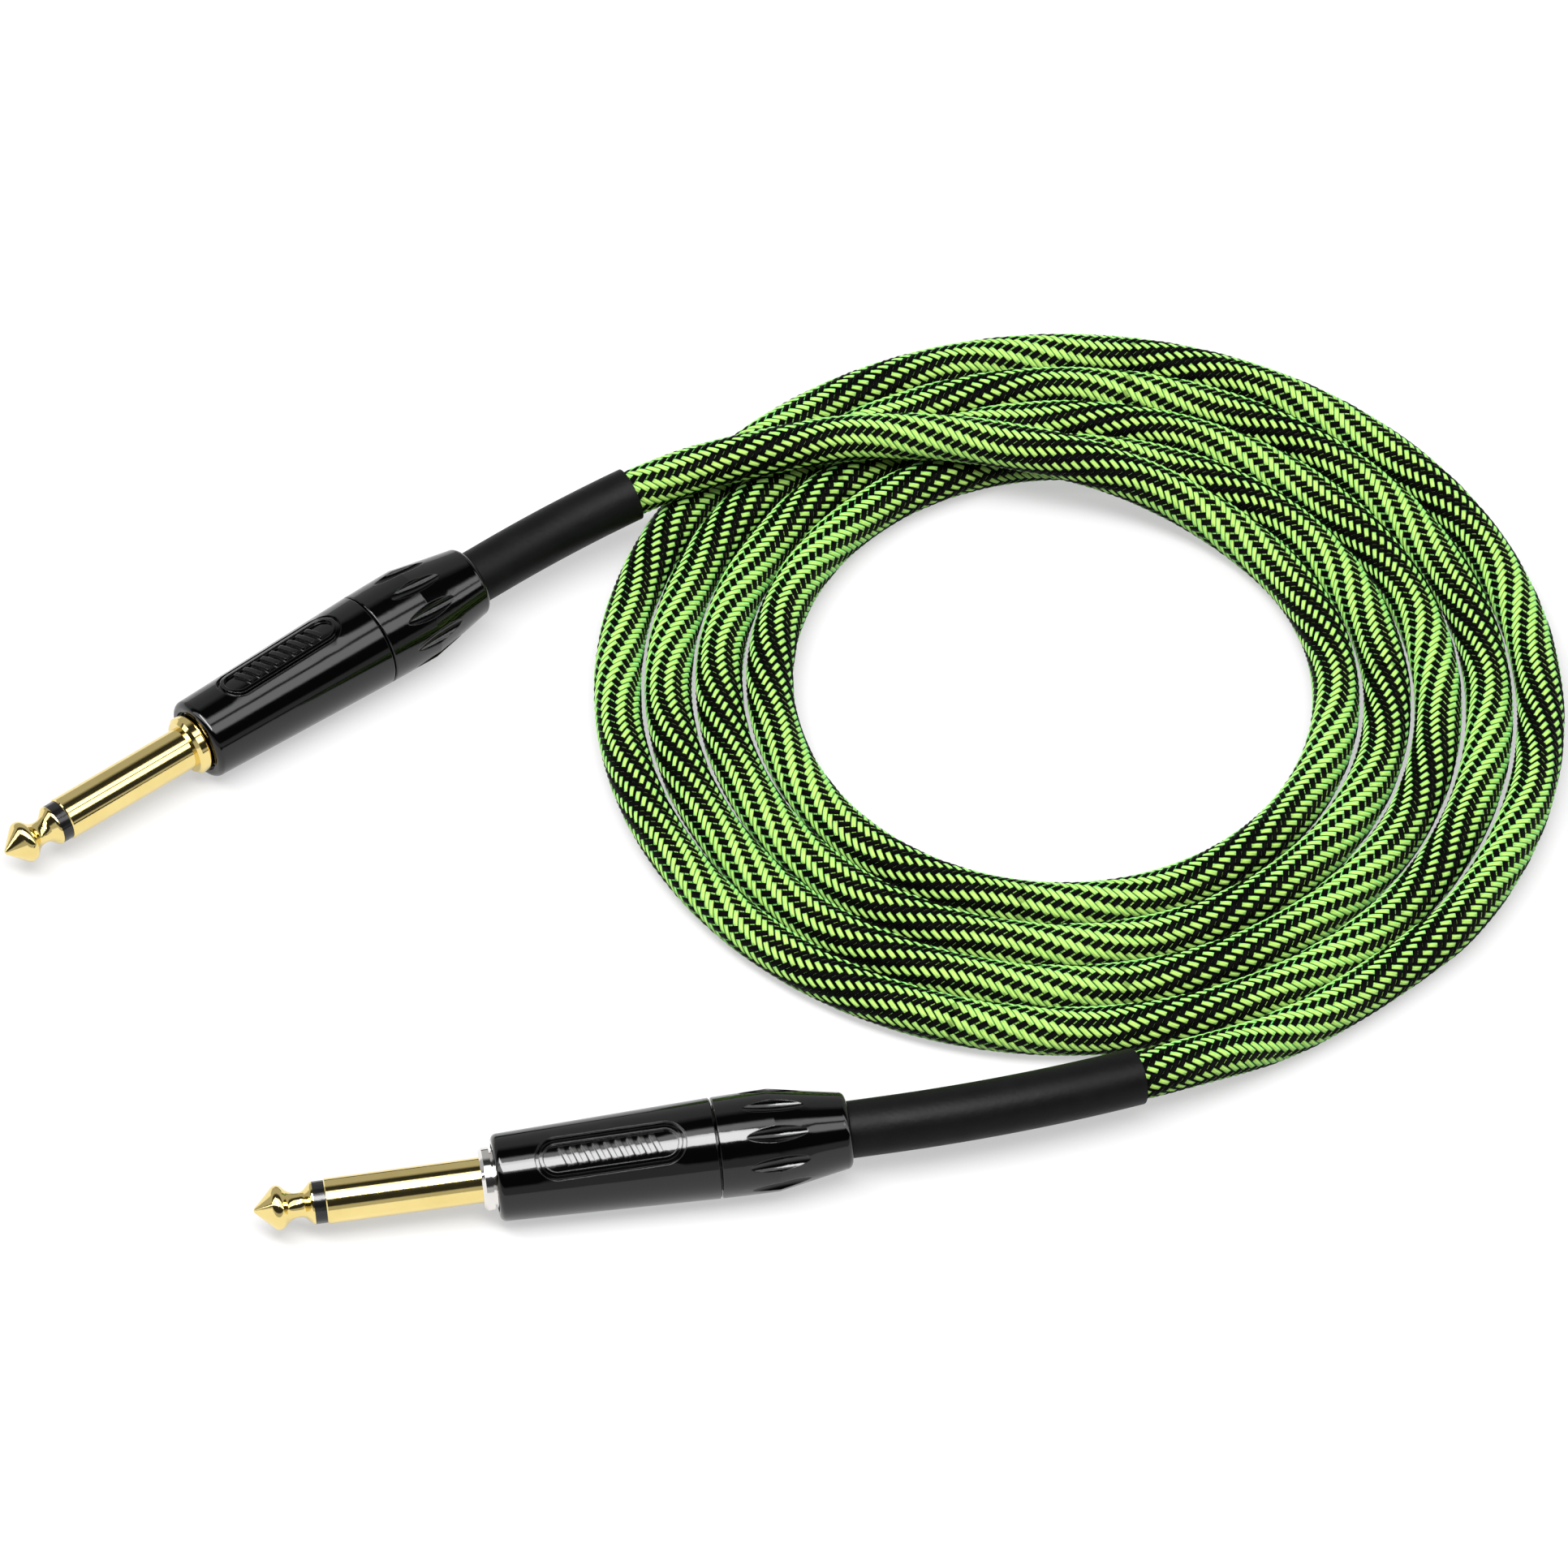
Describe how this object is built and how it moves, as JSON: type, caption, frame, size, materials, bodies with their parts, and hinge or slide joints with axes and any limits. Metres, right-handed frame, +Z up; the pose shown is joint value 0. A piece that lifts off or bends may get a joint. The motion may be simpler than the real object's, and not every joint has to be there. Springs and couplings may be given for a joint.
{
  "type": "instrument cable",
  "caption": "Instrument cable with straight 6.35 mm mono plugs and screw collars on a green and black braided cord, lying in a loose flat coil.",
  "frame": {"origin": "on the floor, under the middle of the two plugs' box", "axes": "+X along the longer side, from the plugs' tips towards the coil; +Y away from the front plug towards the rear one; +Z up"},
  "size_m": [0.2238, 0.1727, 0.0145],
  "materials": {
    "gold_contact": "bright gold plating",
    "nickel": "bright nickel plating",
    "black_enamel": "glossy black enamel",
    "boot_rubber": "matte black shrink tube",
    "cord_braid": "woven green and black yarn",
    "black_insulator": "moulded",
    "black_plastic": "moulded",
    "white_plastic": "moulded",
    "bright_steel": "tinned",
    "copper": "bare copper",
    "solder": "solder"
  },
  "bodies": {
    "cable": {"tip_insulator_ring_a": "black_insulator", "insulator_tube_a": "white_plastic", "sleeve_contact_a": "gold_contact", "flange_ring_a": "gold_contact", "tip_contact_a": "gold_contact", "lock_nut_a": "bright_steel", "ground_tag_a": "bright_steel", "rear_insulator_a": "white_plastic", "tip_lug_a": "bright_steel", "barrel_liner_a": "white_plastic", "shield_braid_a": "copper", "core_insulation_a": "white_plastic", "centre_wire_a": "copper", "tip_solder_a": "solder", "ground_solder_a": "solder", "cord_collet_a": "black_plastic", "barrel_a": "black_enamel", "boot_a": "boot_rubber", "cord_end_a": "cord_braid", "tip_insulator_ring_b": "black_insulator", "insulator_tube_b": "white_plastic", "sleeve_contact_b": "gold_contact", "flange_ring_b": "nickel", "tip_contact_b": "gold_contact", "lock_nut_b": "bright_steel", "ground_tag_b": "bright_steel", "rear_insulator_b": "white_plastic", "tip_lug_b": "bright_steel", "barrel_liner_b": "white_plastic", "shield_braid_b": "copper", "core_insulation_b": "white_plastic", "centre_wire_b": "copper", "tip_solder_b": "solder", "ground_solder_b": "solder", "cord_collet_b": "black_plastic", "barrel_b": "black_enamel", "boot_b": "boot_rubber", "cord_end_b": "cord_braid", "cable_coil": "cord_braid", "lead_a": "cord_braid", "lead_b": "cord_braid"},
    "thrust_a": {"thrust_washer_a": "bright_steel"},
    "collar_a": {"rear_collar_a": "black_enamel"},
    "thrust_b": {"thrust_washer_b": "bright_steel"},
    "collar_b": {"rear_collar_b": "black_enamel"}
  },
  "joints": [
    {"name": "collar_a_back", "type": "slide", "parent": "cable", "child": "thrust_a", "axis": [0.7856, 0.6182, 0.0271], "range_m": [0, 0.004]},
    {"name": "collar_a_turn", "type": "hinge", "parent": "thrust_a", "child": "collar_a", "pos_m": [-0.02444, 0.0439, 0.00715], "axis": [0.7856, 0.6182, 0.0271], "range_deg": [0, 1440]},
    {"name": "collar_b_back", "type": "slide", "parent": "cable", "child": "thrust_b", "axis": [0.9879, 0.1529, 0.0271], "range_m": [0, 0.004]},
    {"name": "collar_b_turn", "type": "hinge", "parent": "thrust_b", "child": "collar_b", "pos_m": [0.02812, -0.05549, 0.00715], "axis": [0.9879, 0.1529, 0.0271], "range_deg": [0, 1440]}
  ],
  "couplings": [
    {"joint": "collar_a_back", "follows": "collar_a_turn", "m_per_rad": 0.000159},
    {"joint": "collar_b_back", "follows": "collar_b_turn", "m_per_rad": 0.000159}
  ]
}
